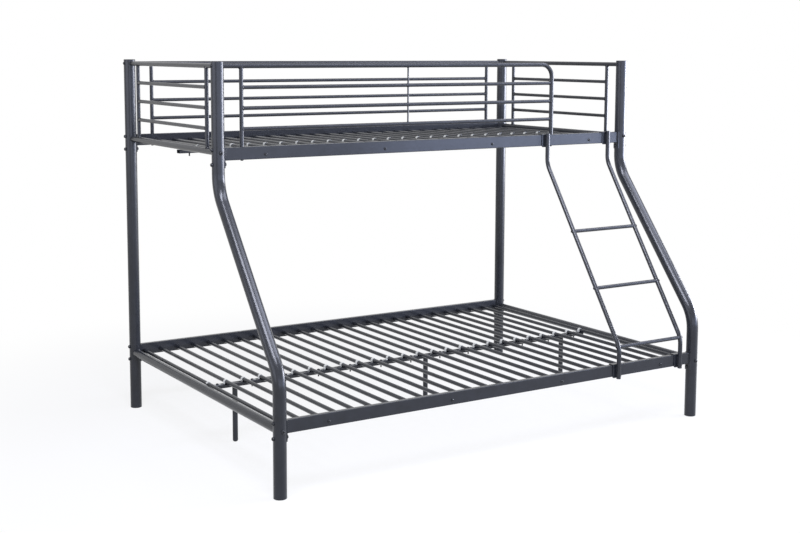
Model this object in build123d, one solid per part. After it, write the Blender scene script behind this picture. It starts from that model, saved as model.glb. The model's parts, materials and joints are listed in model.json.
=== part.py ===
from build123d import *
from math import sqrt
import os

# Bunk bed of steel tube: a single bunk over a double bed, bolted together from four posts, side
# rails, end guards, slat decks and a ladder that hooks over the front rails.
# Millimetres. X runs along the bed, Y from the ladder side to the back, Z up from the floor. The
# origin is on the floor under the middle of the whole outline.

# Main sizes of the frame
post_span = 2040
lower_width = 1420
upper_set_back = 500
post_top = 1561
lower_rail_bottom = 239
upper_rail_bottom = 1185
top_rail_height = 1546.5

# Clearances that the whole bed shares, and how far a cut runs past the surface it opens
seat_gap = 0.3
hole_clearance = 0.6
hole_end_gap = 5
cut_overrun = 5

# Posts, with the two bends of the front ones
post_diameter = 50
post_wall = 1.2
lower_bend_height = 451
upper_bend_height = 1070
post_bend_radius = 175
cap_flange = 3
cap_plug_depth = 6
cap_wall = 2.5
foot_flange = 4
foot_plug_depth = 16
foot_rounding = 1.5

# Rectangular side rails
rail_height = 50
rail_width = 20
rail_wall = 1.2
rail_corner = 2.5

# Saddle plates that join a side rail to a post
saddle_thickness = 3
saddle_drop = 28
saddle_chord = 34
upper_bolt_rise = 41
lower_bolt_drop = 15

# Frame bolts and nuts
bolt_diameter = 8
bolt_head_diameter = 15
bolt_head_height = 7
bolt_head_chamfer = 3
nut_width = 13
nut_height = 6.5
bolt_end_spare = 3

# Small screws
screw_diameter = 6
screw_head_diameter = 12
screw_head_height = 4
screw_head_chamfer = 1.8
screw_nut_width = 10
screw_nut_height = 5

# Round end rails: a wide one at each end of the lower deck, a thinner one under each end guard
lower_end_rail_rise = 13
lower_end_rail_diameter = 36
upper_end_rail_rise = 31
upper_end_rail_diameter = 25
end_rail_wall = 1.2
end_plate = 4
end_boss_diameter = 18
plug_depth = 30
plug_hole_depth = 25

# Guards
top_rail_diameter = 19
top_rail_wall = 1.0
spigot_diameter = 12
spigot_past_axis = 9
upright_diameter = 16
upright_wall = 1.0
upright_inset = 100
guard_bar_diameter = 15
guard_bar_wall = 0.8
guard_bar_first = 1304
guard_bar_pitch = 80
guard_bar_count = 3
guard_rod_diameter = 7
front_guard_end = 607
front_guard_bend_radius = 55

# Slat decks
slat_count = 26
slat_first_inset = 40
slat_diameter = 16
slat_wall = 0.8
slat_rise = 19
slat_plug_depth = 24
screwed_slats = (2, 9, 16, 23)
ferrule_wall = 1.0
ferrule_flange_width = 1
ferrule_flange = 1.0
ferrule_sleeve = 4

# Centre rails with the straps that hold them to the slats
centre_rail_width = 30
centre_rail_height = 15
centre_rail_wall = 1.2
centre_rail_inset = 30
strap_width = 15
strap_thickness = 1.2
strap_screw_drop = 13

# Legs under the lower centre rail
leg_slat_gaps = (1, 13, 23)
leg_diameter = 22
leg_wall = 1.2
leg_foot_height = 14
leg_foot_rounding = 8
leg_foot_plug_depth = 12
leg_stud_diameter = 8
leg_stud_length = 9
leg_plug_depth = 10

# Ladder
ladder_centre = 749
ladder_spacing = 354
ladder_tube_diameter = 19
ladder_tube_wall = 1.2
ladder_top = 1240
ladder_bottom = 233
ladder_upper_bend_height = 1104
ladder_lower_bend_height = 365
ladder_bend_radius = 90
ladder_cap = 2
ladder_cap_plug = 8
rung_first = 367
rung_pitch = 228
rung_count = 3
rung_diameter = 16
rung_wall = 1.0
rung_plug_depth = 24
rung_screw_reach = 34
hook_width = 48
hook_thickness = 3
hook_bend_radius = 4
hook_lip = 12
hook_drop = 5
hook_corner = 6

# Places worked out from the sizes above
post_radius = post_diameter / 2
post_x = post_span / 2
front_overhang = rail_width / 2 + seat_gap + hook_thickness + ladder_tube_diameter
back_overhang = post_radius + bolt_head_height
lower_front_y = (front_overhang - lower_width - back_overhang) / 2
upper_front_y = lower_front_y + upper_set_back
back_y = lower_front_y + lower_width
slat_pitch = (post_span - 2 * slat_first_inset) / (slat_count - 1)
slat_places = [slat_first_inset - post_x + k * slat_pitch for k in range(slat_count)]
slat_radius = slat_diameter / 2
bolt_hole = bolt_diameter + hole_clearance
screw_hole = screw_diameter + hole_clearance
sides = (("left", -post_x), ("right", post_x))
lower_end_rail_height = lower_rail_bottom + lower_end_rail_rise
upper_end_rail_height = upper_rail_bottom + upper_end_rail_rise
guard_heights = [guard_bar_first + k * guard_bar_pitch for k in range(guard_bar_count)]
front_upright_places = [upright_inset - post_x, front_guard_end]
back_upright_places = [upright_inset - post_x, post_x - upright_inset]
slat_gaps = [(first + second) / 2 for first, second in zip(slat_places, slat_places[1:])]
strap_places = slat_gaps[::2]
leg_places = [slat_gaps[k] for k in leg_slat_gaps]
leg_y = (lower_front_y + back_y) / 2
leg_top = lower_rail_bottom + slat_rise - slat_radius - seat_gap - centre_rail_height
ladder_low_y = lower_front_y - front_overhang + ladder_tube_diameter / 2
ladder_high_y = ladder_low_y + upper_set_back
ladder_x = [ladder_centre - ladder_spacing / 2, ladder_centre + ladder_spacing / 2]
decks = (("lower", lower_front_y, lower_rail_bottom), ("upper", upper_front_y, upper_rail_bottom))


def rod(start, end, diameter):
    """A solid round bar from one point to another."""
    start, end = Vector(*start), Vector(*end)
    return extrude(Plane(start, z_dir=end - start) * Circle(diameter / 2), (end - start).length)


def tube(start, end, diameter, wall):
    """A round tube from one point to another."""
    start, end = Vector(*start), Vector(*end)
    ring = Circle(diameter / 2) - Circle(diameter / 2 - wall)
    return extrude(Plane(start, z_dir=end - start) * ring, (end - start).length)


def swept(points, radius, section):
    """A section carried along straight runs with rounded corners."""
    path = FilletPolyline(*points, radius=radius)
    return sweep(Plane(path @ 0, z_dir=path % 0) * section, path=path)


def turned(points, seat, direction):
    """A solid of revolution from a half outline of (radius, distance along the axis)."""
    outline = make_face(Plane.XZ * Polyline(*points, close=True))
    return Plane(seat, z_dir=direction).location * revolve(outline, Axis.Z)


def fastener(seat, direction, reach, shank, head, height, chamfer_size):
    """A bolt or screw: the underside of its head at the seat, its shank along the direction."""
    outline = [
        (0, -height),
        (head / 2 - chamfer_size, -height),
        (head / 2, chamfer_size - height),
        (head / 2, 0),
        (shank / 2, 0),
        (shank / 2, reach),
        (0, reach),
    ]
    return turned(outline, seat, direction)


def bolt(seat, direction, reach):
    """A frame bolt."""
    sizes = (bolt_diameter, bolt_head_diameter, bolt_head_height, bolt_head_chamfer)
    return fastener(seat, direction, reach, *sizes)


def screw(seat, direction, reach):
    """A small screw."""
    sizes = (screw_diameter, screw_head_diameter, screw_head_height, screw_head_chamfer)
    return fastener(seat, direction, reach, *sizes)


def nut(seat, direction, width, height, hole):
    """A hexagon nut lying on its seat."""
    section = RegularPolygon(width / 2, 6, major_radius=False) - Circle(hole / 2)
    return extrude(Plane(seat, z_dir=direction) * section, height)


def rail_section(width, height, wall):
    """A rectangular tube's wall, its corners rounded outside and in."""
    outside = RectangleRounded(width, height, rail_corner)
    return outside - RectangleRounded(width - 2 * wall, height - 2 * wall, rail_corner - wall)


def front_post_path(x):
    """The corners of a front post's axis: up from the floor, back over the bed and up again."""
    return [
        (x, lower_front_y, foot_flange),
        (x, lower_front_y, lower_bend_height),
        (x, upper_front_y, upper_bend_height),
        (x, upper_front_y, post_top),
    ]


def post(x, front):
    """A post with the holes for its rail bolts, end rails, top bolt and guard spigot."""
    ring = Circle(post_radius) - Circle(post_radius - post_wall)
    lower_y, upper_y = (lower_front_y, upper_front_y) if front else (back_y, back_y)
    if front:
        body = swept(front_post_path(x), post_bend_radius, ring)
    else:
        body = tube((x, back_y, foot_flange), (x, back_y, post_top), post_diameter, post_wall)
    reach = post_radius + cut_overrun
    top = top_rail_height
    holes = [rod((x - reach, upper_y, top), (x + reach, upper_y, top), screw_hole)]
    for y, bottom in ((lower_y, lower_rail_bottom), (upper_y, upper_rail_bottom)):
        for height in (bottom + upper_bolt_rise, bottom - lower_bolt_drop):
            holes.append(rod((x - reach, y, height), (x + reach, y, height), bolt_hole))
    for y, height in ((lower_y, lower_end_rail_height), (upper_y, upper_end_rail_height)):
        holes.append(rod((x, y - reach, height), (x, y + reach, height), bolt_hole))
    mouth = (x, upper_y + (reach if front else -reach), top)
    holes.append(rod((x, upper_y, top), mouth, spigot_diameter + hole_clearance))
    return body - holes


def post_caps():
    """A plastic cap plugged into the top of each post."""
    plug = post_radius - post_wall - seat_gap
    outline = [
        (0, post_top),
        (plug - cap_wall, post_top),
        (plug - cap_wall, post_top - cap_plug_depth),
        (plug, post_top - cap_plug_depth),
        (plug, post_top),
        (post_radius, post_top),
        (post_radius, post_top + cap_flange / 2),
        (post_radius - cap_flange / 2, post_top + cap_flange),
        (0, post_top + cap_flange),
    ]
    cap = turned(outline, (0, 0, 0), (0, 0, 1))
    return [Pos(x, y, 0) * cap for x in (-post_x, post_x) for y in (upper_front_y, back_y)]


def post_foot(x, y):
    """A plastic glide plugged into the bottom of a post."""
    plug = post_radius - post_wall - seat_gap
    outline = [
        (0, 0),
        (post_radius - foot_rounding, 0),
        (post_radius, foot_rounding),
        (post_radius, foot_flange),
        (plug, foot_flange),
        (plug, foot_flange + foot_plug_depth),
        (plug - cap_wall, foot_flange + foot_plug_depth),
        (plug - cap_wall, foot_flange),
        (0, foot_flange),
    ]
    return turned(outline, (x, y, 0), (0, 0, 1))


def saddle(x, y, bottom):
    """The plate at a rail's end that hugs the post and hangs below the rail for the second bolt."""
    inner = post_radius + seat_gap
    ring = Circle(inner + saddle_thickness) - Circle(inner)
    side = -1 if x > 0 else 1
    reach = inner + saddle_thickness
    band = Pos(side * reach / 2, 0) * Rectangle(reach, saddle_chord)
    plate = extrude(Pos(x, y, bottom - saddle_drop) * (ring & band), saddle_drop + rail_height)
    end = x + side * (reach + cut_overrun)
    heights = (bottom + upper_bolt_rise, bottom - lower_bolt_drop)
    return plate - [rod((x, y, height), (end, y, height), bolt_hole) for height in heights]


def side_rail(y, bottom, inward, upright_places):
    """A rectangular tube with a saddle plate at each end, slat holes inside and screw holes."""
    middle = bottom + rail_height / 2
    section = Plane((-post_x, y, middle), x_dir=(0, 1, 0), z_dir=(1, 0, 0))
    rail = extrude(section * rail_section(rail_width, rail_height, rail_wall), post_span)
    joint = 2 * (post_radius + seat_gap) + saddle_thickness
    low, high = bottom - cut_overrun, bottom + rail_height + cut_overrun
    rail -= [rod((x, y, low), (x, y, high), joint) for x in (-post_x, post_x)]
    rail += [saddle(x, y, bottom) for x in (-post_x, post_x)]
    slat_height = bottom + slat_rise
    socket = slat_diameter + 2 * hole_clearance + 2 * ferrule_wall
    inside = y + inward * (rail_width / 2 + cut_overrun)
    outside = y - inward * (rail_width / 2 + cut_overrun)
    holes = [rod((x, y, slat_height), (x, inside, slat_height), socket) for x in slat_places]
    for x in [slat_places[k] for k in screwed_slats]:
        holes.append(rod((x, y, slat_height), (x, outside, slat_height), screw_hole))
    holes += [rod((x, y, low), (x, y, high), screw_hole) for x in upright_places]
    return rail - holes


def deck_edges(front_y):
    """The inner faces of a deck's front and back side rails."""
    return front_y + rail_width / 2, back_y - rail_width / 2


def slats(front_y, bottom):
    """A deck's cross tubes, which reach to the outer walls of the side rails."""
    z = bottom + slat_rise
    start = front_y - rail_width / 2 + rail_wall + seat_gap
    end = back_y + rail_width / 2 - rail_wall - seat_gap
    plain = tube((0, start, z), (0, end, z), slat_diameter, slat_wall)
    plug_diameter = slat_diameter - slat_wall
    plugged = plain
    for mouth, depth in ((start, slat_plug_depth), (end, -slat_plug_depth)):
        plug = rod((0, mouth, z), (0, mouth + depth, z), plug_diameter)
        plugged += plug - rod((0, mouth, z), (0, mouth + depth, z), screw_hole)
    kinds = [plugged if k in screwed_slats else plain for k in range(slat_count)]
    return [Pos(x, 0, 0) * slat for x, slat in zip(slat_places, kinds)]


def ferrules(front_y, bottom):
    """A plastic collar round each slat end, pressed into the side rail."""
    inner = slat_radius + seat_gap
    outer = inner + ferrule_wall
    flange = outer + ferrule_flange_width
    outline = [
        (inner, -ferrule_sleeve),
        (outer, -ferrule_sleeve),
        (outer, 0),
        (flange, 0),
        (flange, ferrule_flange),
        (inner, ferrule_flange),
    ]
    z = bottom + slat_rise
    made = []
    for y, inward in zip(deck_edges(front_y), (1, -1)):
        collar = turned(outline, (0, y, z), (0, inward, 0))
        made += [Pos(x, 0, 0) * collar for x in slat_places]
    return made


def centre_rail(front_y, bottom, stud_places):
    """The flat tube under the middle of a deck, with holes for strap screws and leg studs."""
    y = (front_y + back_y) / 2
    top = bottom + slat_rise - slat_radius - seat_gap
    middle = top - centre_rail_height / 2
    start = centre_rail_inset - post_x
    section = Plane((start, y, middle), x_dir=(0, 1, 0), z_dir=(1, 0, 0))
    wall = rail_section(centre_rail_width, centre_rail_height, centre_rail_wall)
    rail = extrude(section * wall, post_span - 2 * centre_rail_inset)
    base = top - centre_rail_height - cut_overrun
    holes = [rod((x, y, base), (x, y, top + cut_overrun), screw_hole) for x in strap_places]
    holes += [rod((x, y, base), (x, y, middle), leg_stud_diameter + hole_clearance) for x in stud_places]
    return rail - holes


def straps(front_y, bottom):
    """Sheet straps, each bent over two slats and flat between them on the centre rail."""
    y = (front_y + back_y) / 2
    seat = bottom + slat_rise - slat_radius - seat_gap
    rise = slat_radius + seat_gap
    arch = rise + strap_thickness
    outside = Pos(0, strap_thickness / 2) * Rectangle(slat_pitch, strap_thickness)
    openings = []
    for side in (-slat_pitch / 2, slat_pitch / 2):
        leg, bore = Pos(side, rise / 2), Pos(side, rise)
        outside += bore * Circle(arch) + leg * Rectangle(2 * arch, rise)
        openings.append(bore * Circle(rise) + leg * Rectangle(2 * rise, rise))
    below = Pos(0, -arch / 2) * Rectangle(2 * slat_pitch, arch)
    plane = Plane((0, y - strap_width / 2, seat), x_dir=(-1, 0, 0), z_dir=(0, 1, 0))
    strap = extrude(plane * (outside - openings - below), strap_width)
    strap -= rod((0, y, seat - cut_overrun), (0, y, seat + cut_overrun), screw_hole)
    return [Pos(x, 0, 0) * strap for x in strap_places]


def strap_screws(front_y, bottom):
    """The screw in the middle of each strap, down through the centre rail."""
    y = (front_y + back_y) / 2
    seat = bottom + slat_rise - slat_radius - seat_gap + strap_thickness
    reach = strap_thickness + centre_rail_height + strap_screw_drop
    return [screw((x, y, seat), (0, 0, -1), reach) for x in strap_places]


def centre_leg(x):
    """A tube leg with a closed top and a stud that enters the centre rail."""
    top, inside = (x, leg_y, leg_top), (x, leg_y, leg_top - leg_plug_depth)
    leg = tube((x, leg_y, leg_foot_height), top, leg_diameter, leg_wall)
    leg += rod(inside, top, leg_diameter - leg_wall)
    return leg + rod(inside, (x, leg_y, leg_top + leg_stud_length), leg_stud_diameter)


def leg_foot(x):
    """A rounded plastic tip plugged into the bottom of a centre leg."""
    plug_diameter = leg_diameter - 2 * leg_wall - 2 * seat_gap
    tip = rod((x, leg_y, 0), (x, leg_y, leg_foot_height), leg_diameter)
    tip = fillet(tip.edges().group_by(Axis.Z)[0], leg_foot_rounding)
    plug_top = leg_foot_height + leg_foot_plug_depth
    return tip + rod((x, leg_y, leg_foot_height), (x, leg_y, plug_top), plug_diameter)


def post_spaces(y, margin):
    """The room that the posts at both ends of a row take, for coping a tube against them."""
    low, high = upper_rail_bottom - saddle_drop, post_top
    return [rod((x, y, low), (x, y, high), post_diameter + 2 * margin) for x in (-post_x, post_x)]


def end_plug(mouth, direction, diameter, hole, depth, hole_depth):
    """A threaded plug inside a tube's end."""
    mouth, direction = Vector(*mouth), Vector(*direction)
    plug = rod(mouth, mouth + direction * depth, diameter)
    return plug - rod(mouth, mouth + direction * hole_depth, hole)


def lower_end_rail(x):
    """The round rail across the foot or head of the lower bed, coped to its two posts."""
    z = lower_end_rail_height
    rail = tube((x, lower_front_y, z), (x, back_y, z), lower_end_rail_diameter, end_rail_wall)
    inside = lower_end_rail_diameter - end_rail_wall
    low, high = z - lower_end_rail_diameter, z + lower_end_rail_diameter
    face = post_radius + seat_gap
    for y, inward in ((lower_front_y, 1), (back_y, -1)):
        rail -= rod((x, y, low), (x, y, high), 2 * face)
        start, plate = (x, y + inward * face, z), (x, y + inward * (face + end_plate), z)
        rail += rod(start, plate, inside)
        rail += rod(start, (x, y + inward * (face + plug_depth), z), end_boss_diameter)
        rail -= rod((x, y, z), (x, y + inward * (face + plug_hole_depth), z), bolt_hole)
    return rail


def end_guard(x):
    """A welded end panel: a round rail below, a top rail with spigots, uprights and bars."""
    low = upper_end_rail_height
    front, back = upper_front_y, back_y
    low_axis = (x, front, low), (x, back, low)
    top_axis = (x, front, top_rail_height), (x, back, top_rail_height)
    panel = tube(*low_axis, upper_end_rail_diameter, end_rail_wall)
    panel += tube(*top_axis, top_rail_diameter, top_rail_wall)
    rails = rod(*low_axis, upper_end_rail_diameter) + rod(*top_axis, top_rail_diameter)
    uprights = [front + upright_inset, back - upright_inset]
    posts = []
    for y in uprights:
        foot, head = (x, y, low), (x, y, top_rail_height)
        panel += tube(foot, head, upright_diameter, upright_wall) - rails
        posts.append(rod(foot, head, upright_diameter))
    for z in guard_heights:
        bar = tube((x, uprights[0], z), (x, uprights[1], z), guard_bar_diameter, guard_bar_wall)
        panel += bar - posts[0] - posts[1]
    post_surface = post_radius + seat_gap
    for y, inward in ((front, 1), (back, -1)):
        inside = upper_end_rail_diameter - end_rail_wall
        reach = post_surface + plug_depth
        panel += rod((x, y, low), (x, y + inward * reach, low), inside)
        panel -= rod((x, y, low), (x, y + inward * (post_radius + plug_hole_depth), low), bolt_hole)
        inside = top_rail_diameter - top_rail_wall
        panel += rod((x, y, top_rail_height), (x, y + inward * reach, top_rail_height), inside)
        foot = upper_rail_bottom - saddle_drop
        panel -= rod((x, y, foot), (x, y, post_top), post_diameter + 2 * seat_gap)
        start = (x, y - inward * spigot_past_axis, top_rail_height)
        spigot = rod(start, (x, y + inward * reach, top_rail_height), spigot_diameter)
        across = (x - post_radius, y, top_rail_height), (x + post_radius, y, top_rail_height)
        panel += spigot - rod(*across, screw_hole)
    return panel


def guard_foot(x, y):
    """The threaded plug in the foot of an upright that stands on a side rail."""
    seat = (x, y, upper_rail_bottom + rail_height)
    inside = upright_diameter - upright_wall
    return end_plug(seat, (0, 0, 1), inside, screw_hole, plug_depth, plug_hole_depth)


def top_rail_plug(x, y, inward):
    """The threaded plug in a top rail's end, beside its post."""
    mouth = (x, y, top_rail_height)
    inside = top_rail_diameter - top_rail_wall
    face = post_radius + seat_gap
    depths = face + plug_depth, face + plug_hole_depth
    return end_plug(mouth, (inward, 0, 0), inside, screw_hole, *depths)


def back_guard():
    """The welded guard along the back: top rail, two uprights and bars."""
    y, z = back_y, top_rail_height
    foot = upper_rail_bottom + rail_height
    guard = tube((-post_x, y, z), (post_x, y, z), top_rail_diameter, top_rail_wall)
    top_solid = rod((-post_x, y, z), (post_x, y, z), top_rail_diameter)
    places = back_upright_places
    uprights = []
    for x in places:
        guard += tube((x, y, foot), (x, y, z), upright_diameter, upright_wall) - top_solid
        guard += guard_foot(x, y)
        uprights.append(rod((x, y, foot), (x, y, z), upright_diameter))
    for height in guard_heights:
        bar = tube((places[0], y, height), (places[1], y, height), guard_bar_diameter, guard_bar_wall)
        guard += bar - uprights[0] - uprights[1]
    guard += top_rail_plug(-post_x, y, 1) + top_rail_plug(post_x, y, -1)
    for space in post_spaces(y, seat_gap):
        guard -= space
    return guard


def front_guard():
    """The shorter guard at the front, whose top rail bends down beside the ladder."""
    y, z = upper_front_y, top_rail_height
    foot = upper_rail_bottom + rail_height
    first = front_upright_places[0]
    corners = [(-post_x, y, z), (front_guard_end, y, z), (front_guard_end, y, foot)]
    ring = Circle(top_rail_diameter / 2) - Circle(top_rail_diameter / 2 - top_rail_wall)
    guard = swept(corners, front_guard_bend_radius, ring)
    hoop = swept(corners, front_guard_bend_radius, Circle(top_rail_diameter / 2))
    upright = rod((first, y, foot), (first, y, z), upright_diameter)
    guard += tube((first, y, foot), (first, y, z), upright_diameter, upright_wall) - hoop
    guard += guard_foot(first, y)
    inside = top_rail_diameter - top_rail_wall
    seat = (front_guard_end, y, foot)
    guard += end_plug(seat, (0, 0, 1), inside, screw_hole, plug_depth, plug_hole_depth)
    bars = []
    for height in guard_heights:
        ends = (first, y, height), (front_guard_end, y, height)
        guard += tube(*ends, guard_bar_diameter, guard_bar_wall) - upright - hoop
        bars.append(rod(*ends, guard_bar_diameter))
    middle = (first + front_guard_end) / 2
    brace = rod((middle, y, guard_bar_first), (middle, y, z), guard_rod_diameter) - hoop
    for bar in bars:
        brace -= bar
    guard += brace
    guard += top_rail_plug(-post_x, y, 1)
    return guard - post_spaces(y, seat_gap)[0]


def rail_joints():
    """The centre of each post at the side rail that it carries, with the rail's bottom."""
    for _, front_y, bottom in decks:
        for x in (-post_x, post_x):
            yield x, front_y, bottom
            yield x, back_y, bottom


def side_rail_bolts():
    """Two bolts through each post into a side rail's saddle plate."""
    reach = post_diameter + seat_gap + saddle_thickness + nut_height + bolt_end_spare
    made = []
    for x, y, bottom in rail_joints():
        outward = 1 if x > 0 else -1
        for height in (bottom + upper_bolt_rise, bottom - lower_bolt_drop):
            made.append(bolt((x + outward * post_radius, y, height), (-outward, 0, 0), reach))
    return made


def side_rail_nuts():
    """The nut behind the saddle plate on each side rail bolt."""
    made = []
    for x, y, bottom in rail_joints():
        inward = -1 if x > 0 else 1
        seat = x + inward * (post_radius + seat_gap + saddle_thickness)
        for height in (bottom + upper_bolt_rise, bottom - lower_bolt_drop):
            made.append(nut((seat, y, height), (inward, 0, 0), nut_width, nut_height, bolt_hole))
    return made


def end_rail_bolts(front_y, height):
    """The bolts through the posts into the ends of the end rails at one level."""
    reach = post_diameter + seat_gap + plug_hole_depth - hole_end_gap
    made = []
    for x in (-post_x, post_x):
        made.append(bolt((x, front_y - post_radius, height), (0, 1, 0), reach))
        made.append(bolt((x, back_y + post_radius, height), (0, -1, 0), reach))
    return made


def top_screws():
    """The screw across each post top, through the end guard's spigot and into a long guard."""
    reach = post_diameter + seat_gap + plug_hole_depth - hole_end_gap
    short = post_diameter + screw_nut_height + bolt_end_spare
    made = []
    for x, outward in ((-post_x, -1), (post_x, 1)):
        for y in (upper_front_y, back_y):
            free = x > 0 and y == upper_front_y
            seat = (x + outward * post_radius, y, top_rail_height)
            made.append(screw(seat, (-outward, 0, 0), short if free else reach))
    return made


def top_nut():
    """The nut on the top screw of the post that has no long guard beside it."""
    seat = (post_x - post_radius, upper_front_y, top_rail_height)
    return nut(seat, (-1, 0, 0), screw_nut_width, screw_nut_height, screw_hole)


def guard_foot_screws():
    """The screws up through the side rails into the feet of the long guards."""
    reach = rail_height + plug_hole_depth - hole_end_gap
    places = [(x, upper_front_y) for x in front_upright_places]
    places += [(x, back_y) for x in back_upright_places]
    return [screw((x, y, upper_rail_bottom), (0, 0, 1), reach) for x, y in places]


def slat_screws():
    """The screws through the side rails into the ends of the screwed slats."""
    reach = rail_wall + seat_gap + slat_plug_depth - hole_end_gap
    made = []
    for _, front_y, bottom in decks:
        for y, inward in ((front_y - rail_width / 2, 1), (back_y + rail_width / 2, -1)):
            places = [slat_places[k] for k in screwed_slats]
            made += [screw((x, y, bottom + slat_rise), (0, inward, 0), reach) for x in places]
    return made


def ladder_path(x):
    """The corners of a ladder rail's axis."""
    return [
        (x, ladder_low_y, ladder_bottom),
        (x, ladder_low_y, ladder_lower_bend_height),
        (x, ladder_high_y, ladder_upper_bend_height),
        (x, ladder_high_y, ladder_top),
    ]


def rung_places():
    """Each rung's place on the ladder rails' axis, on the lower bend or the slope above it."""
    run = ladder_upper_bend_height - ladder_lower_bend_height
    slope = upper_set_back / run
    length = sqrt(upper_set_back**2 + run**2)
    lean = upper_set_back / length
    tangent = ladder_bend_radius * lean / (1 + run / length)
    bend_start = ladder_lower_bend_height - tangent
    bend_end = ladder_lower_bend_height + tangent * run / length
    places = []
    for k in range(rung_count):
        z = rung_first + k * rung_pitch
        y = ladder_low_y + (z - ladder_lower_bend_height) * slope
        if z < bend_end:
            y = ladder_low_y + ladder_bend_radius - sqrt(ladder_bend_radius**2 - (z - bend_start) ** 2)
        places.append((y, z))
    return places


def ladder_rail(x):
    """A bent ladder tube with a cross hole for each rung screw."""
    ring = Circle(ladder_tube_diameter / 2) - Circle(ladder_tube_diameter / 2 - ladder_tube_wall)
    rail = swept(ladder_path(x), ladder_bend_radius, ring)
    reach = ladder_tube_diameter
    return rail - [rod((x - reach, y, z), (x + reach, y, z), screw_hole) for y, z in rung_places()]


def rung(y, z):
    """A tube rung, plugged for its screws and coped to the two ladder rails."""
    left, right = ladder_x
    made = tube((left, y, z), (right, y, z), rung_diameter, rung_wall)
    depth = ladder_tube_diameter / 2 + rung_plug_depth
    for x, inward in ((left, 1), (right, -1)):
        made += end_plug((x, y, z), (inward, 0, 0), rung_diameter - rung_wall, screw_hole, depth, depth)
    for x in ladder_x:
        made -= swept(ladder_path(x), ladder_bend_radius, Circle(ladder_tube_diameter / 2 + seat_gap))
    return made


def rung_screws():
    """A screw through each ladder rail into each rung end."""
    made = []
    for y, z in rung_places():
        for x, inward in zip(ladder_x, (1, -1)):
            seat = (x - inward * ladder_tube_diameter / 2, y, z)
            made.append(screw(seat, (inward, 0, 0), rung_screw_reach))
    return made


def ladder_caps():
    """Plastic plugs in the open ends of the ladder tubes."""
    outer = ladder_tube_diameter / 2
    plug = outer - ladder_tube_wall - seat_gap
    outline = [
        (0, -ladder_cap_plug),
        (plug, -ladder_cap_plug),
        (plug, 0),
        (outer, 0),
        (outer, ladder_cap),
        (0, ladder_cap),
    ]
    ends = ((ladder_low_y, ladder_bottom, -1), (ladder_high_y, ladder_top, 1))
    return [turned(outline, (x, y, z), (0, 0, way)) for x in ladder_x for y, z, way in ends]


def hook(x, rail_y, bottom):
    """A bent plate behind a ladder tube that hooks over a side rail."""
    front = rail_y - rail_width / 2 - seat_gap
    back = rail_y + rail_width / 2 + seat_gap
    top = bottom + rail_height + seat_gap
    low = bottom - hook_drop
    outside = hook_block(x, front - hook_thickness, back + hook_thickness, low, top + hook_thickness)
    outside = fillet(outside.edges().filter_by(Axis.X).group_by(Axis.Z)[-1], hook_bend_radius)
    inside = hook_block(x, front, back, low - cut_overrun, top)
    behind = hook_block(x, front, back + 2 * hook_thickness, low - cut_overrun, top - hook_lip)
    plate = outside - [inside, behind]
    return fillet(plate.edges().filter_by(Axis.Y).group_by(Axis.Z)[0], hook_corner)


def hook_block(x, y_low, y_high, z_low, z_high):
    """A block as wide as a hook, between the given faces."""
    size = Box(hook_width, y_high - y_low, z_high - z_low)
    return Pos(x, (y_low + y_high) / 2, (z_low + z_high) / 2) * size


nodes = {
    "front_upper_side_rail": side_rail(upper_front_y, upper_rail_bottom, 1, front_upright_places),
    "back_upper_side_rail": side_rail(back_y, upper_rail_bottom, -1, back_upright_places),
    "front_lower_side_rail": side_rail(lower_front_y, lower_rail_bottom, 1, []),
    "back_lower_side_rail": side_rail(back_y, lower_rail_bottom, -1, []),
    "front_guard": front_guard(),
    "back_guard": back_guard(),
    "post_caps": post_caps(),
    "side_rail_bolts": side_rail_bolts(),
    "side_rail_nuts": side_rail_nuts(),
    "lower_end_rail_bolts": end_rail_bolts(lower_front_y, lower_end_rail_height),
    "end_guard_bolts": end_rail_bolts(upper_front_y, upper_end_rail_height),
    "post_top_screws": top_screws(),
    "post_top_nut": top_nut(),
    "guard_foot_screws": guard_foot_screws(),
    "slat_screws": slat_screws(),
    "ladder_rung_screws": rung_screws(),
    "ladder_end_caps": ladder_caps(),
}
for side, x in sides:
    nodes[f"{side}_lower_end_rail"] = lower_end_rail(x)
    nodes[f"{side}_end_guard"] = end_guard(x)
    for place, front, y in (("front", True, lower_front_y), ("back", False, back_y)):
        nodes[f"{place}_{side}_post"] = post(x, front)
        nodes[f"{place}_{side}_post_foot"] = post_foot(x, y)
for (deck, front_y, bottom), studs in zip(decks, (leg_places, [])):
    nodes[f"{deck}_slats"] = slats(front_y, bottom)
    nodes[f"{deck}_slat_ferrules"] = ferrules(front_y, bottom)
    nodes[f"{deck}_centre_rail"] = centre_rail(front_y, bottom, studs)
    nodes[f"{deck}_slat_straps"] = straps(front_y, bottom)
    nodes[f"{deck}_strap_screws"] = strap_screws(front_y, bottom)
for place, x in zip(("left", "middle", "right"), leg_places):
    nodes[f"{place}_centre_leg"] = centre_leg(x)
    nodes[f"{place}_centre_leg_foot"] = leg_foot(x)
for side, x in zip(("left", "right"), ladder_x):
    nodes[f"ladder_{side}_rail"] = ladder_rail(x)
    for deck, rail_y, bottom in decks:
        nodes[f"ladder_{side}_{deck}_hook"] = hook(x, rail_y, bottom)
for number, (y, z) in enumerate(rung_places(), 1):
    nodes[f"ladder_rung_{number}"] = rung(y, z)

os.makedirs("parts", exist_ok=True)
for name, shape in nodes.items():
    group = shape if isinstance(shape, list) else [shape]
    whole = Compound(children=[solid for item in group for solid in item.solids()])
    export_step(whole, f"parts/{name}.step")
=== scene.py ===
"""A bunk bed of powder-coated steel tube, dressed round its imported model.

Finishes, fasteners, weld beads, light and camera. Everything is in metres in the model's own frame: X along
the bed, Y from the ladder side to the back, Z up.
"""

import json
from math import cos, radians, sin

import bmesh
import bpy
import numpy as np
from mathutils import Matrix, Vector


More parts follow.
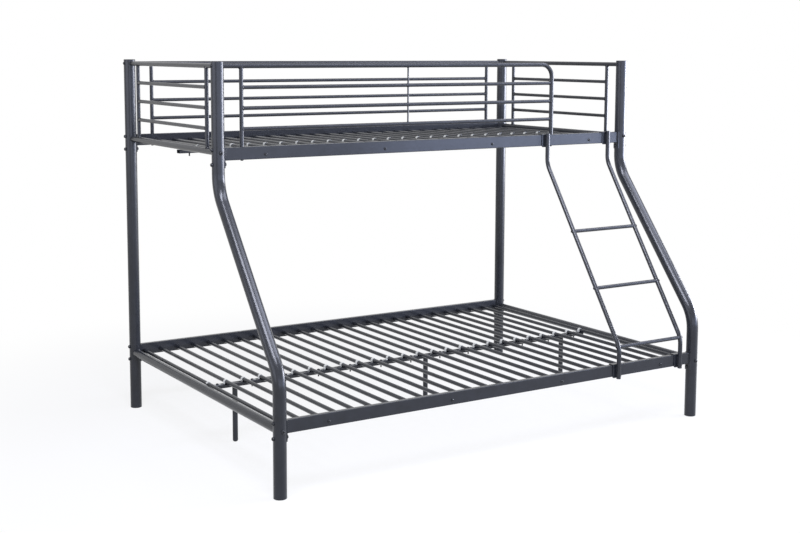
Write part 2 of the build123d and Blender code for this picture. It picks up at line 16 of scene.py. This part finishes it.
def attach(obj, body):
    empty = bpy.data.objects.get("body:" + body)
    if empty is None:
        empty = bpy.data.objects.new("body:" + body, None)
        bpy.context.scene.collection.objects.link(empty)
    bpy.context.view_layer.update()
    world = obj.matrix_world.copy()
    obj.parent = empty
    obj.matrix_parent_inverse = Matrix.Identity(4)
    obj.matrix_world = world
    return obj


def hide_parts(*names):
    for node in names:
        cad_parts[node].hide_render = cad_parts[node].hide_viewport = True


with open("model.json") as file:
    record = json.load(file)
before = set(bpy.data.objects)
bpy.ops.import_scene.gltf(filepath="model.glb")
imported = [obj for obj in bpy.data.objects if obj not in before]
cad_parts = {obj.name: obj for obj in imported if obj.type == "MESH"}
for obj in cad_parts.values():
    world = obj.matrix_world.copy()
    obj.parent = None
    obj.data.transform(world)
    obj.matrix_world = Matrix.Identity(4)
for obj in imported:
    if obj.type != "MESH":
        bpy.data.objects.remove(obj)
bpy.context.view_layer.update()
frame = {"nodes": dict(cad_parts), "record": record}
MM = 0.001

# Sizes that the dressing shares with the model, in millimetres
POST_X = 1020.0
FRONT_Y, UPPER_Y, BACK_Y = -709.85, -209.85, 710.15
POST_R = 25.0
SEAT_GAP = 0.3
RAIL_BOTTOM = {"lower": 239.0, "upper": 1185.0}
RAIL_HEIGHT, RAIL_HALF = 50.0, 10.0
SADDLE_THICKNESS, HOOK_THICKNESS, STRAP_THICKNESS = 3.0, 3.0, 1.2
SADDLE_FACE = POST_R + SEAT_GAP + SADDLE_THICKNESS
BOLT_RISE, BOLT_DROP = 41.0, 15.0
END_BOLT_Z = {"lower": 252.0, "upper": 1216.0}
TOP_RAIL_Z = 1546.5
TOP_RAIL_R, UPRIGHT_R, BAR_R, ROD_R, END_RAIL_R = 9.5, 8.0, 7.5, 3.5, 12.5
UPRIGHT_INSET = 100.0
GUARD_BARS = (1304.0, 1384.0, 1464.0)
GUARD_END_X = 607.0
SLAT_FIRST, SLAT_PITCH, SLAT_COUNT, SLAT_RISE = -980.0, 78.4, 26, 19.0
SLAT_R = 8.0
SCREWED_SLATS = (2, 9, 16, 23)
LADDER_X = (572.0, 926.0)
LADDER_TUBE_R = 9.5
RUNGS = ((-727.65, 367.0), (-577.03, 595.0), (-422.77, 823.0))
HOOK_DROP = 5.0

# Fasteners, in millimetres: radii and heights of their heads and nuts, and how far each shank reaches
BOLT = {"shank": 4.0, "head": 7.5, "height": 7.0, "socket": 2.5}
SCREW = {"shank": 3.0, "head": 6.0, "height": 4.0, "socket": 2.0}
FRAME_NUT = {"half": 6.5, "height": 4.0, "hole": 4.3}
TOP_NUT = {"half": 5.0, "height": 5.0, "hole": 3.3}
SIDE_BOLT_REACH, END_BOLT_REACH = 58.8, 70.3
SLAT_SCREW_REACH, STRAP_SCREW_REACH, RUNG_SCREW_REACH = 20.5, 29.2, 34.0
TOP_SCREW_REACH, SHORT_TOP_SCREW_REACH, FOOT_SCREW_REACH = 70.3, 58.0, 70.0
THREAD_LENGTH, THREAD_PITCH, THREAD_CREST, THREAD_END = 7.0, 1.25, 0.62, 1.0

# Weld beads, in millimetres: their radii, and how far a plate's seams lie in from its ends, out and beside
TUBE_BEAD, ROD_BEAD, SADDLE_BEAD, HOOK_BEAD = 2.0, 1.2, 2.2, 1.9
SADDLE_SEAM_MARGIN, SADDLE_SEAM_OUT, SADDLE_SEAM_BESIDE = 3.0, 0.4, 0.3
HOOK_SEAM_MARGIN, HOOK_SEAM_OUT, HOOK_SEAM_BESIDE = 5.0, 1.0, 5.0
BEAD_STEP = 1.1

# Patterns in the finishes, in millimetres
FILM_CLOUD, FILM_GRAIN = 55, 9
MOULD_CLOUD, MOULD_DEPTH = 14, 0.04
ROLLED_DEPTH = 0.03

# The angle past which an edge of a piece is drawn sharp
CREASE = radians(38)

# The floor, in metres: its disc, how far it lies under the glides, and where it fades to the backdrop
FLOOR_RADIUS, FLOOR_RINGS, FLOOR_SPOKES, FLOOR_DROP = 12.0, 14, 96, 0.0004
FADE_START, FADE_END = 1.2, 2.8


# Colour and material helpers


def linear(code):
    """An sRGB hex colour as linear RGBA."""
    parts = np.array([int(code[k : k + 2], 16) for k in (1, 3, 5)]) / 255
    low, high = parts / 12.92, ((parts + 0.055) / 1.055) ** 2.4
    return (*np.where(parts <= 0.04045, low, high), 1.0)


class Surface:
    """The node tree of a material or of the world, with one function that adds a node."""

    def __init__(self, owner):
        self.owner = owner
        owner.use_nodes = True
        self.tree = owner.node_tree
        self.tree.nodes.clear()

    def add(self, kind, links=None, sockets=None, stops=(), **settings):
        """Add a node with its settings, socket values and links, and its ramp's places and hex colours."""
        node = self.tree.nodes.new(kind)
        for key, value in settings.items():
            setattr(node, key, value)
        for key, value in (sockets or {}).items():
            node.inputs[key].default_value = value
        for key, source in (links or {}).items():
            self.tree.links.new(source, node.inputs[key])
        for number, (place, colour) in enumerate(stops):
            element = node.color_ramp.elements[number]
            element.position, element.color = place, linear(colour)
        return node


def coated_steel(name, dark, light, rough, peel_mm, peel_depth_mm):
    """Coated steel: an even satin film with a faint orange peel.

    Base colour: two close greys mixed by a slow noise, as the film's thickness varies. Roughness: a noise
    of the same film. Bump: orange peel as rounded cells, drawn coarser than the real ones, which are 1 mm or
    less, so that it shows from close by. Coat: the film's skin lies smoother than the pigment under it,
    which gives a tube's lit edge its crisp line.
    """
    made = Surface(bpy.data.materials.new(name))
    place = made.add("ShaderNodeTexCoord").outputs["Object"]
    slow = made.add(
        "ShaderNodeTexNoise",
        {"Vector": place},
        {"Scale": 1 / (FILM_CLOUD * MM), "Detail": 2.0, "Roughness": 0.5},
    )
    tint = made.add(
        "ShaderNodeValToRGB", {"Fac": slow.outputs["Fac"]}, stops=[(0.32, dark), (0.68, light)]
    )
    grain = made.add(
        "ShaderNodeTexNoise",
        {"Vector": place},
        {"Scale": 1 / (FILM_GRAIN * MM), "Detail": 3.0, "Roughness": 0.6},
    )
    satin = made.add(
        "ShaderNodeMapRange",
        {"Value": grain.outputs["Fac"]},
        {"From Min": 0.3, "From Max": 0.7, "To Min": rough - 0.015, "To Max": rough + 0.015},
    )
    peel = made.add(
        "ShaderNodeTexNoise",
        {"Vector": place},
        {"Scale": 1 / (peel_mm * MM), "Detail": 1.0, "Roughness": 0.4},
    )
    bump = made.add(
        "ShaderNodeBump",
        {"Height": peel.outputs["Fac"]},
        {"Strength": 0.3, "Distance": peel_depth_mm * MM},
    )
    shader = made.add(
        "ShaderNodeBsdfPrincipled",
        {
            "Base Color": tint.outputs["Color"],
            "Roughness": satin.outputs["Result"],
            "Normal": bump.outputs["Normal"],
        },
        {
            "Metallic": 0.0,
            "IOR": 1.5,
            "Specular IOR Level": 0.24,
            "Coat Weight": 0.28,
            "Coat Roughness": 0.16,
            "Coat IOR": 1.5,
        },
    )
    made.add("ShaderNodeOutputMaterial", {"Surface": shader.outputs["BSDF"]})
    return made.owner


def moulded_plastic(name, dark, light, rough, grain_mm):
    """Injection-moulded plastic: a fine spark-eroded grain that scatters a soft sheen."""
    made = Surface(bpy.data.materials.new(name))
    place = made.add("ShaderNodeTexCoord").outputs["Object"]
    cells = made.add("ShaderNodeTexVoronoi", {"Vector": place}, {"Scale": 1 / (grain_mm * MM)})
    cloud = made.add(
        "ShaderNodeTexNoise", {"Vector": place}, {"Scale": 1 / (MOULD_CLOUD * MM), "Detail": 2.0}
    )
    tint = made.add(
        "ShaderNodeValToRGB", {"Fac": cloud.outputs["Fac"]}, stops=[(0.3, dark), (0.7, light)]
    )
    bump = made.add(
        "ShaderNodeBump",
        {"Height": cells.outputs["Distance"]},
        {"Strength": 0.3, "Distance": MOULD_DEPTH * MM},
    )
    shader = made.add(
        "ShaderNodeBsdfPrincipled",
        {"Base Color": tint.outputs["Color"], "Normal": bump.outputs["Normal"]},
        {"Roughness": rough, "IOR": 1.49, "Specular IOR Level": 0.4},
    )
    made.add("ShaderNodeOutputMaterial", {"Surface": shader.outputs["BSDF"]})
    return made.owner


def zinc_sheet(name, dark, light, rough, streak_mm):
    """Bright plate on bent steel strip: a pale blue-white metal with fine rolling lines along X."""
    made = Surface(bpy.data.materials.new(name))
    place = made.add("ShaderNodeTexCoord").outputs["Object"]
    stretched = made.add("ShaderNodeMapping", {"Vector": place}, {"Scale": (0.08, 1.0, 1.0)})
    lines = made.add(
        "ShaderNodeTexNoise",
        {"Vector": stretched.outputs["Vector"]},
        {"Scale": 1 / (streak_mm * MM), "Detail": 3.0},
    )
    tint = made.add(
        "ShaderNodeValToRGB", {"Fac": lines.outputs["Fac"]}, stops=[(0.3, dark), (0.7, light)]
    )
    matt = made.add(
        "ShaderNodeMapRange",
        {"Value": lines.outputs["Fac"]},
        {"From Min": 0.3, "From Max": 0.7, "To Min": rough - 0.06, "To Max": rough + 0.06},
    )
    bump = made.add(
        "ShaderNodeBump",
        {"Height": lines.outputs["Fac"]},
        {"Strength": 0.2, "Distance": ROLLED_DEPTH * MM},
    )
    shader = made.add(
        "ShaderNodeBsdfPrincipled",
        {
            "Base Color": tint.outputs["Color"],
            "Roughness": matt.outputs["Result"],
            "Normal": bump.outputs["Normal"],
        },
        {"Metallic": 1.0},
    )
    made.add("ShaderNodeOutputMaterial", {"Surface": shader.outputs["BSDF"]})
    return made.owner


# Thermoset powder coat, sprayed on steel tube and baked: dark blue-grey, satin, with long soft highlights
graphite = coated_steel("graphite_powder_coat_satin", "#222428", "#282a2f", 0.31, 2.4, 0.012)
# The same coat over a weld bead: a little rougher and darker, because it pulls thin over the ripples
weld_coat = coated_steel("graphite_powder_coat_over_weld", "#202226", "#26282c", 0.36, 1.6, 0.1)
# Phosphated steel of bolts, nuts and screws: nearly black, with the tight highlight of an oiled skin
black_steel = coated_steel("black_phosphated_steel", "#1a1b1e", "#212327", 0.27, 1.2, 0.03)
# Polypropylene of glides, caps and ferrules, moulded against a grained tool: black with a waxy sheen
plastic = moulded_plastic("black_polypropylene_moulded", "#222327", "#292a2e", 0.38, 0.9)
# Zinc plate on the strip of the slat straps: pale and mirror-like, so that the straps glint
zinc = zinc_sheet("zinc_plated_strip", "#b9bcc1", "#dfe1e4", 0.26, 1.1)
FINISH = {
    "graphite_powder_coat": graphite,
    "black_plastic": plastic,
    "zinc_plate": zinc,
    "black_fasteners": black_steel,
}
for entry in frame["record"]["subparts"]:
    mesh = frame["nodes"][entry["node"]].data
    mesh.materials.clear()
    mesh.materials.append(FINISH[entry["material_slot"]])


# Mesh helpers: a piece is one or more grids of points, computed as whole arrays


def grid_faces(rows, columns, first):
    """Quads of a grid whose columns close on themselves, counted from the point `first`."""
    row, column = np.meshgrid(np.arange(rows - 1), np.arange(columns), indexing="ij")
    beside = (column + 1) % columns
    near, far = row * columns, (row + 1) * columns
    corners = np.stack([near + column, near + beside, far + beside, far + column], axis=-1)
    return corners.reshape(-1, 4) + first


def build_piece(name, grids, material, body, stands_for=()):
    """Join grids in millimetres into one mesh with closed poles and outward faces, and let it ride."""
    points = np.concatenate([g.reshape(-1, 3) for g in grids]) * MM
    counts = np.cumsum([0] + [g.shape[0] * g.shape[1] for g in grids])
    faces = np.concatenate([grid_faces(g.shape[0], g.shape[1], first) for g, first in zip(grids, counts)])
    mesh = bpy.data.meshes.new(name)
    mesh.from_pydata(points.tolist(), [], faces.tolist())
    shape = bmesh.new()
    shape.from_mesh(mesh)
    bmesh.ops.remove_doubles(shape, verts=shape.verts, dist=0.002 * MM)
    bmesh.ops.dissolve_degenerate(shape, edges=shape.edges, dist=0.001 * MM)
    bmesh.ops.recalc_face_normals(shape, faces=shape.faces)
    shape.to_mesh(mesh)
    shape.free()
    mesh.shade_smooth()
    mesh.set_sharp_from_angle(angle=CREASE)
    mesh.materials.append(material)
    piece = bpy.data.objects.new(name, mesh)
    bpy.context.scene.collection.objects.link(piece)
    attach(piece, body)
    if stands_for:
        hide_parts(*stands_for)


def fasteners(name, grids, nodes, body="bed_frame"):
    """A set of bolts, screws or nuts, which stands for the model's plain ones."""
    build_piece(name, grids, black_steel, body, nodes)


def welds(name, grids, body="bed_frame"):
    """A set of weld beads."""
    build_piece(name, grids, weld_coat, body)


def square_axes(direction):
    """Two unit vectors square to a direction and to each other."""
    direction = np.array(direction, float)
    helper = np.array([0.0, 0.0, 1.0]) if abs(direction[2]) < 0.9 else np.array([1.0, 0.0, 0.0])
    first = np.cross(helper, direction)
    first /= np.linalg.norm(first)
    return first, np.cross(direction, first)


def circle_around(direction, columns):
    """The unit vectors cos(angle) * first + sin(angle) * second square to a direction, and their angles."""
    angle = np.arange(columns) * 2 * np.pi / columns
    first, second = square_axes(direction)
    return np.cos(angle)[:, None] * first + np.sin(angle)[:, None] * second, angle


def turned(profile, seat, direction, columns=36):
    """A turned surface with a hexagon where its profile asks for one.

    Point (row, column) = seat + depth * direction + radius(angle) * (cos, sin) of the column's angle. The
    radius is the profile's own, moved by its third value towards that of a hexagon with the same distance
    across flats.
    """
    radius, depth, hexagon = np.array(profile, float).T
    around, angle = circle_around(direction, columns)
    flat = 1 / np.cos((angle + np.pi / 6) % (np.pi / 3) - np.pi / 6)
    reach = radius[:, None] * (1 + hexagon[:, None] * (flat[None, :] - 1))
    return (
        np.array(seat, float)
        + depth[:, None, None] * np.array(direction, float)
        + reach[:, :, None] * around[None, :, :]
    )


def button_head(seat, direction, reach, shank, head, height, socket):
    """A button-head screw: hexagon socket, domed head, shank and rounded thread at its end, as one profile.

    The dome's radius and depth go from the socket's rim to the seat as the sine and cosine of one angle.
    """
    rise = np.linspace(0.12, 1.0, 6) * np.pi / 2
    rim = socket * 1.22
    dome_radius = rim + (head - rim) * np.sin(rise)
    dome_depth = -height * 0.3 - height * 0.7 * np.cos(rise)
    thread_start = reach - THREAD_LENGTH
    profile = [(0.0, 0.62 * height - height, 0.0), (socket * 0.98, 0.58 * height - height, 1.0)]
    profile += [(socket, 0.08 * height - height, 1.0), (rim, -height, 0.4)]
    profile += [(r, d, 0.0) for r, d in zip(dome_radius, dome_depth)]
    profile += [(head, 0.0, 0.0), (shank, 0.0, 0.0), (shank, thread_start - THREAD_END, 0.0)]
    for turn in np.arange(thread_start, reach - THREAD_END, THREAD_PITCH):
        profile += [(shank * 0.88, turn, 0.0), (shank, turn + THREAD_CREST, 0.0)]
    profile += [(shank * 0.8, reach, 0.0), (0.0, reach, 0.0)]
    return turned(profile, seat, direction)


def hexagon_nut(seat, direction, half, height, hole):
    """A chamfered hexagon nut: a hexagon prism whose outer corners a cone cuts off, with a plain bore."""
    profile = [
        (hole, 0.0, 0.0),
        (half * 0.97, 0.0, 0.0),
        (half, height * 0.1, 1.0),
        (half, height * 0.84, 1.0),
        (half * 0.95, height, 0.0),
        (hole * 1.08, height, 0.0),
        (hole, height * 0.93, 0.0),
        (hole, 0.0, 0.0),
    ]
    return turned(profile, seat, direction)


SLAT_X = [SLAT_FIRST + k * SLAT_PITCH for k in range(SLAT_COUNT)]
DECKS = {"lower": FRONT_Y, "upper": UPPER_Y}

bolts, nuts = [], []
for deck, front_y in DECKS.items():
    bottom = RAIL_BOTTOM[deck]
    for side in (-1.0, 1.0):
        for y in (front_y, BACK_Y):
            for z in (bottom + BOLT_RISE, bottom - BOLT_DROP):
                outside, inside = side * (POST_X + POST_R), side * (POST_X - SADDLE_FACE)
                bolts.append(button_head((outside, y, z), (-side, 0, 0), SIDE_BOLT_REACH, **BOLT))
                nuts.append(hexagon_nut((inside, y, z), (-side, 0, 0), **FRAME_NUT))
fasteners("side_rail_bolt_set", bolts, ["side_rail_bolts"])
fasteners("side_rail_nut_set", nuts, ["side_rail_nuts"])

for deck, node in (("lower", "lower_end_rail_bolts"), ("upper", "end_guard_bolts")):
    made = []
    for side in (-1.0, 1.0):
        for y, inward in ((DECKS[deck] - POST_R, 1.0), (BACK_Y + POST_R, -1.0)):
            seat = side * POST_X, y, END_BOLT_Z[deck]
            made.append(button_head(seat, (0, inward, 0), END_BOLT_REACH, **BOLT))
    fasteners(node.replace("bolts", "bolt_set"), made, [node])

made = []
for deck, front_y in DECKS.items():
    z = RAIL_BOTTOM[deck] + SLAT_RISE
    for k in SCREWED_SLATS:
        for y, inward in ((front_y - RAIL_HALF, 1.0), (BACK_Y + RAIL_HALF, -1.0)):
            made.append(button_head((SLAT_X[k], y, z), (0, inward, 0), SLAT_SCREW_REACH, **SCREW))
fasteners("slat_screw_set", made, ["slat_screws"])

made = []
for side in (-1.0, 1.0):
    for y in (UPPER_Y, BACK_Y):
        at_nut = side > 0 and y == UPPER_Y
        reach = SHORT_TOP_SCREW_REACH if at_nut else TOP_SCREW_REACH
        made.append(button_head((side * (POST_X + POST_R), y, TOP_RAIL_Z), (-side, 0, 0), reach, **SCREW))
fasteners("post_top_screw_set", made, ["post_top_screws"])
made = [hexagon_nut((POST_X - POST_R, UPPER_Y, TOP_RAIL_Z), (-1, 0, 0), **TOP_NUT)]
fasteners("post_top_hexagon_nut", made, ["post_top_nut"])

guard_feet = [(-POST_X + UPRIGHT_INSET, UPPER_Y), (GUARD_END_X, UPPER_Y)]
guard_feet += [(side * (POST_X - UPRIGHT_INSET), BACK_Y) for side in (-1.0, 1.0)]
made = []
for x, y in guard_feet:
    made.append(button_head((x, y, RAIL_BOTTOM["upper"]), (0, 0, 1), FOOT_SCREW_REACH, **SCREW))
fasteners("guard_foot_screw_set", made, ["guard_foot_screws"])

for deck, front_y in DECKS.items():
    y = (front_y + BACK_Y) / 2
    seat = RAIL_BOTTOM[deck] + SLAT_RISE - SLAT_R - SEAT_GAP + STRAP_THICKNESS
    places = [(first + second) / 2 for first, second in zip(SLAT_X[::2], SLAT_X[1::2])]
    made = [button_head((x, y, seat), (0, 0, -1), STRAP_SCREW_REACH, **SCREW) for x in places]
    fasteners(f"{deck}_strap_screw_set", made, [f"{deck}_strap_screws"])

made = []
for y, z in RUNGS:
    for x, inward in zip(LADDER_X, (1.0, -1.0)):
        seat = x - inward * LADDER_TUBE_R, y, z
        made.append(button_head(seat, (inward, 0, 0), RUNG_SCREW_REACH, **SCREW))
fasteners("ladder_rung_screw_set", made, ["ladder_rung_screws"], "ladder")


# Welds: beads where one tube ends on another, and along the plates


def saddle_bead(place, along, across, bar_radius, tube_radius, bead=TUBE_BEAD, columns=44, rows=9):
    """The bead round a bar that ends on the side of a tube.

    The path is the line where a cylinder of the bar's radius meets one of the tube's, each a quarter of the
    bead larger: at angle t it stands bar * cos(t) along the tube, bar * sin(t) beside it and
    sqrt(tube^2 - (bar * sin(t))^2) out along the bar. A circle of the bead's radius is carried along it,
    its size rippled as a hand weld's is.
    """
    along, across = np.array(along, float), np.array(across, float)
    beside = np.cross(along, across)
    t = np.arange(columns) * 2 * np.pi / columns
    bar, tube = bar_radius + 0.25 * bead, tube_radius + 0.25 * bead
    radial = np.cos(t)[:, None] * across + np.sin(t)[:, None] * beside
    out = np.sqrt(tube**2 - (bar * np.sin(t)) ** 2)
    path = np.array(place, float) + bar * radial + out[:, None] * along
    turn = np.linspace(0, 2 * np.pi, rows)
    size = bead * (1 + 0.09 * np.sin(11 * t) + 0.05 * np.sin(3 * t + place[0]))
    circle = np.cos(turn)[:, None, None] * radial[None, :, :] + np.sin(turn)[:, None, None] * along
    return path[None, :, :] + size[None, :, None] * circle


def straight_bead(start, end, bead, columns=10):
    """A bead along a straight seam: a circle carried from start to end, tapered at both ends and rippled.

    Its size at a share s of the way is bead * sqrt(1 - |2s - 1|^9), rippled by a sine of the length run.
    """
    start, end = np.array(start, float), np.array(end, float)
    length = np.linalg.norm(end - start)
    share = np.linspace(0, 1, max(12, int(length / BEAD_STEP)))
    taper = np.sqrt(np.clip(1 - np.abs(2 * share - 1) ** 9, 0, 1))
    size = bead * taper * (1 + 0.1 * np.sin(share * length * 2.1 + start[0]))
    around, _ = circle_around((end - start) / length, columns)
    return (start + share[:, None] * (end - start))[:, None, :] + size[:, None, None] * around[None]


X_AXIS, Y_AXIS, Z_AXIS = np.eye(3)


def guard_welds(low_end, high_end, axis, foot_z=None):
    """Beads of a guard with two uprights: at its bars' ends, the uprights' heads and any feet on a rail."""
    beads = []
    for (x, y), inward in ((low_end, 1.0), (high_end, -1.0)):
        for z in GUARD_BARS:
            beads.append(saddle_bead((x, y, z), inward * axis, Z_AXIS, BAR_R, UPRIGHT_R))
        beads.append(saddle_bead((x, y, TOP_RAIL_Z), -Z_AXIS, axis, UPRIGHT_R, TOP_RAIL_R))
        if foot_z is not None:
            beads.append(saddle_bead((x, y, foot_z), Z_AXIS, axis, UPRIGHT_R, END_RAIL_R))
    return beads


for side, label in ((-1.0, "left"), (1.0, "right")):
    x = side * POST_X
    places = (x, UPPER_Y + UPRIGHT_INSET), (x, BACK_Y - UPRIGHT_INSET)
    welds(f"{label}_end_guard_welds", guard_welds(*places, Y_AXIS, END_BOLT_Z["upper"]))

places = (UPRIGHT_INSET - POST_X, BACK_Y), (POST_X - UPRIGHT_INSET, BACK_Y)
welds("back_guard_welds", guard_welds(*places, X_AXIS))

upright, rod = UPRIGHT_INSET - POST_X, (UPRIGHT_INSET - POST_X + GUARD_END_X) / 2
made = [saddle_bead((upright, UPPER_Y, TOP_RAIL_Z), -Z_AXIS, X_AXIS, UPRIGHT_R, TOP_RAIL_R)]
for z in GUARD_BARS:
    made.append(saddle_bead((upright, UPPER_Y, z), X_AXIS, Z_AXIS, BAR_R, UPRIGHT_R))
    made.append(saddle_bead((GUARD_END_X, UPPER_Y, z), -X_AXIS, Z_AXIS, BAR_R, TOP_RAIL_R))
    made.append(saddle_bead((rod, UPPER_Y, z), Z_AXIS, X_AXIS, ROD_R, BAR_R, ROD_BEAD))
    if z > GUARD_BARS[0]:
        made.append(saddle_bead((rod, UPPER_Y, z), -Z_AXIS, X_AXIS, ROD_R, BAR_R, ROD_BEAD))
made.append(saddle_bead((rod, UPPER_Y, TOP_RAIL_Z), -Z_AXIS, X_AXIS, ROD_R, TOP_RAIL_R, ROD_BEAD))
welds("front_guard_welds", made)

made = []
seam = np.sqrt(SADDLE_FACE**2 - RAIL_HALF**2)
for deck, front_y in DECKS.items():
    low = RAIL_BOTTOM[deck] + SADDLE_SEAM_MARGIN
    high = RAIL_BOTTOM[deck] + RAIL_HEIGHT - SADDLE_SEAM_MARGIN
    for x, inward in ((-POST_X, 1.0), (POST_X, -1.0)):
        for y in (front_y, BACK_Y):
            for edge in (-RAIL_HALF, RAIL_HALF):
                spot = x + inward * (seam + SADDLE_SEAM_OUT), y + edge + np.sign(edge) * SADDLE_SEAM_BESIDE
                made.append(straight_bead((*spot, low), (*spot, high), SADDLE_BEAD))
welds("saddle_plate_welds", made)

made = []
for deck, rail_y in DECKS.items():
    plate_y = rail_y - RAIL_HALF - SEAT_GAP - HOOK_THICKNESS
    low = RAIL_BOTTOM[deck] - HOOK_DROP + HOOK_SEAM_MARGIN
    high = RAIL_BOTTOM[deck] + RAIL_HEIGHT - HOOK_SEAM_MARGIN
    for x in LADDER_X:
        for side in (-1.0, 1.0):
            spot = x + side * HOOK_SEAM_BESIDE, plate_y - HOOK_SEAM_OUT
            made.append(straight_bead((*spot, low), (*spot, high), HOOK_BEAD))
welds("ladder_hook_welds", made, "ladder")


# Stage: floor, light and camera


def floor_disc(radius, rings, spokes):
    """A flat disc: point (ring, spoke) at radius * ring share from the middle, a hair under the glides."""
    share = np.linspace(0, 1, rings)
    angle = np.arange(spokes) * 2 * np.pi / spokes
    return np.stack(
        [
            radius * share[:, None] * np.cos(angle)[None, :],
            radius * share[:, None] * np.sin(angle)[None, :],
            np.full((rings, spokes), -FLOOR_DROP),
        ],
        axis=-1,
    )


def straight_rays(made):
    """One for camera, mirror and glass rays, which see the white backdrop, and zero for all others."""
    rays = made.add("ShaderNodeLightPath")
    kinds = {0: rays.outputs["Is Glossy Ray"], 1: rays.outputs["Is Transmission Ray"]}
    mirrored = made.add("ShaderNodeMath", kinds, operation="MAXIMUM")
    kinds = {0: rays.outputs["Is Camera Ray"], 1: mirrored.outputs["Value"]}
    return made.add("ShaderNodeMath", kinds, operation="MAXIMUM").outputs["Value"]


def pale_floor():
    """A white studio floor: matt paint that takes the object's soft shadow and fades to the backdrop.

    Camera, mirror and transmission rays see its own light mixed in, so that the bare floor is as white as
    the backdrop. For all other rays it is a grey paint, so that it throws little light up at the object.
    """
    made = Surface(bpy.data.materials.new("white_studio_floor"))
    place = made.add("ShaderNodeTexCoord").outputs["Object"]
    distance = made.add("ShaderNodeVectorMath", {0: place}, operation="LENGTH")
    fade = made.add(
        "ShaderNodeMapRange",
        {"Value": distance.outputs["Value"]},
        {"From Min": FADE_START, "From Max": FADE_END, "To Min": 0.84, "To Max": 1.0},
        interpolation_type="SMOOTHSTEP",
    )
    white = made.add("ShaderNodeBsdfDiffuse", sockets={"Color": linear("#f4f4f4")})
    glow = made.add("ShaderNodeEmission", sockets={"Color": linear("#ffffff"), "Strength": 1.0})
    seen = made.add(
        "ShaderNodeMixShader",
        {"Fac": fade.outputs["Result"], 1: white.outputs["BSDF"], 2: glow.outputs["Emission"]},
    )
    grey = made.add("ShaderNodeBsdfDiffuse", sockets={"Color": linear("#a8a8a8")})
    both = made.add(
        "ShaderNodeMixShader",
        {"Fac": straight_rays(made), 1: grey.outputs["BSDF"], 2: seen.outputs["Shader"]},
    )
    made.add("ShaderNodeOutputMaterial", {"Surface": both.outputs["Shader"]})
    return made.owner


floor_mesh = bpy.data.meshes.new("studio_floor")
disc = floor_disc(FLOOR_RADIUS, FLOOR_RINGS, FLOOR_SPOKES)
tiles = grid_faces(FLOOR_RINGS, FLOOR_SPOKES, 0)
floor_mesh.from_pydata(disc.reshape(-1, 3).tolist(), [], tiles.tolist())
floor_mesh.materials.append(pale_floor())
floor = bpy.data.objects.new("studio_floor", floor_mesh)
bpy.context.scene.collection.objects.link(floor)


def softbox(name, place, target, width, height, watts, colour):
    """A rectangular area lamp that faces a target."""
    lamp = bpy.data.lights.new(name, "AREA")
    lamp.shape, lamp.size, lamp.size_y, lamp.energy = "RECTANGLE", width, height, watts
    lamp.color = linear(colour)[:3]
    holder = bpy.data.objects.new(name, lamp)
    holder.location = place
    holder.rotation_euler = (Vector(target) - Vector(place)).to_track_quat("-Z", "Y").to_euler()
    bpy.context.scene.collection.objects.link(holder)


softbox("over_front_left", (-1.9, -2.4, 3.9), (0, -0.3, 0.8), 2.8, 1.0, 211, "#e8ecff")
softbox("over_front_mid", (1.0, -2.0, 3.9), (0.4, -0.3, 0.8), 2.4, 1.0, 60, "#e4e9ff")
softbox("over_right", (3.2, -1.6, 3.8), (0.6, -0.4, 0.6), 1.8, 1.4, 80, "#dfe5ff")
softbox("wall_right", (5.2, -1.3, 1.2), (0, -0.3, 1.1), 3.4, 1.2, 320, "#ebefff")
softbox("wall_front_right", (5.0, -5.3, 1.0), (0, -0.2, 1.1), 3.8, 1.6, 120, "#c2d3ff")
softbox("wall_left", (-6.2, -0.6, 1.7), (0, 0, 1.2), 5.0, 2.0, 70, "#e4e9ff")
softbox("wall_front", (-1.0, -7.2, 1.3), (0, 0, 1.1), 9.0, 1.8, 112, "#d3deff")

# The world is plain white to straight rays, and adds a faint even light for all others
SEEN, AMBIENT = 1.0, 0.04
sky = Surface(bpy.data.worlds.new("white_studio"))
strength = sky.add(
    "ShaderNodeMapRange", {"Value": straight_rays(sky)}, {"To Min": AMBIENT, "To Max": SEEN}
)
background = sky.add(
    "ShaderNodeBackground", {"Strength": strength.outputs["Result"]}, {"Color": linear("#ffffff")}
)
sky.add("ShaderNodeOutputWorld", {"Surface": background.outputs["Background"]})
bpy.context.scene.world = sky.owner

# The photograph's camera, fitted to the bed's straight edges: place in metres, turns in radians, lens in
# millimetres, and the shift that the framing needs as a share of the picture's width
CAMERA_PLACE = (-3.08449, -4.75223, 1.6097)
YAW, PITCH, ROLL = 0.56666, 0.11431, 0.00371
LENS, SENSOR, SHIFT = 58.265, 36.0, -68 / 800
ahead = Vector((sin(YAW) * cos(PITCH), cos(YAW) * cos(PITCH), -sin(PITCH)))
level = Vector((cos(YAW), -sin(YAW), 0))
above = level.cross(ahead)
right = cos(ROLL) * level + sin(ROLL) * above
up = cos(ROLL) * above - sin(ROLL) * level
lens = bpy.data.cameras.new("photo_view")
lens.lens, lens.sensor_width, lens.shift_y = LENS, SENSOR, SHIFT
camera = bpy.data.objects.new("photo_view", lens)
turn = Matrix((right, up, -ahead)).transposed().to_4x4()
camera.matrix_world = Matrix.Translation(CAMERA_PLACE) @ turn
bpy.context.scene.collection.objects.link(camera)
bpy.context.scene.camera = camera
bpy.context.scene.view_settings.view_transform = "Standard"
